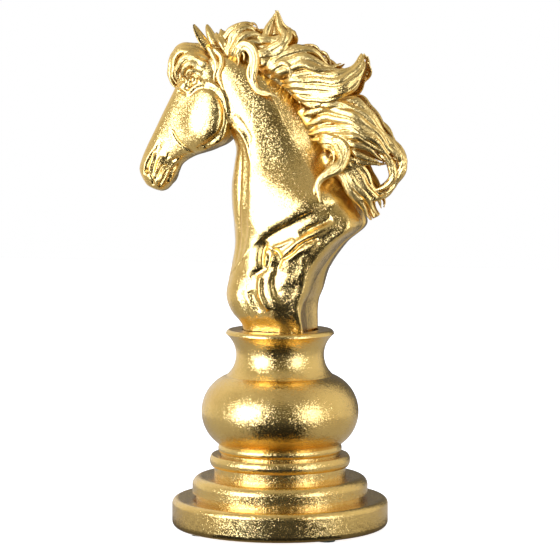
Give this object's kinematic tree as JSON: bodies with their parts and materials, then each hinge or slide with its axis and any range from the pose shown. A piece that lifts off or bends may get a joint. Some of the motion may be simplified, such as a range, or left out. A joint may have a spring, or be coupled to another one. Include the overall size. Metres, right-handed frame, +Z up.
{
  "type": "giant chess piece",
  "caption": "Tall gilded horse-head knight with a flowing mane on a round turned pedestal; hollow, with sand ballast behind a screw plug underneath.",
  "frame": {"origin": "on the pedestal's axis at the height of the ground that the foot pads stand on", "axes": "+Z up along the pedestal's axis; the horse's nose towards -X and its left side towards -Y"},
  "size_m": [0.3165, 0.25, 0.6002],
  "materials": {
    "gold_leaf": "gold leaf over cast resin, burnished, darker in the recesses",
    "bare_resin": "unfinished cast",
    "zinc_steel": "zinc plated",
    "brass": "plain turned",
    "board": "dark stained hardboard",
    "felt": "pressed felt",
    "black_plastic": "moulded satin",
    "rubber": "matt",
    "sand": "dry"
  },
  "bodies": {
    "statue": {"band_ring": "gold_leaf", "base_cover": "board", "bead_ring": "gold_leaf", "bulb": "gold_leaf", "bust_dowels": "zinc_steel", "bust_floor": "bare_resin", "bust_shell": "gold_leaf", "collar": "gold_leaf", "cover_screws": "zinc_steel", "filler_socket": "black_plastic", "foot_pads": "felt", "forelock": "gold_leaf", "left_ear": "gold_leaf", "mane_crest": "gold_leaf", "mane_fall": "gold_leaf", "mane_flick": "gold_leaf", "mane_fringe": "gold_leaf", "neck_curl": "gold_leaf", "neck_strand": "gold_leaf", "plinth": "gold_leaf", "right_ear": "gold_leaf", "rod_insert": "brass", "sand_fill": "sand", "shoulder_step": "gold_leaf", "tie_rod": "zinc_steel", "tie_rod_nut": "zinc_steel", "tie_rod_washer": "zinc_steel"},
    "seal": {"plug_seal": "rubber"},
    "plug": {"filler_plug": "black_plastic"}
  },
  "joints": [
    {"name": "plug_draw", "type": "slide", "parent": "statue", "child": "seal", "axis": [0, 0, -1], "range_m": [0, 0.012]},
    {"name": "plug_turn", "type": "hinge", "parent": "seal", "child": "plug", "pos_m": [-0.055, 0, 0.008], "axis": [0, 0, -1], "range_deg": [0, 1440]}
  ],
  "couplings": [
    {"joint": "plug_turn", "follows": "plug_draw", "rad_per_m": 2094.4}
  ]
}
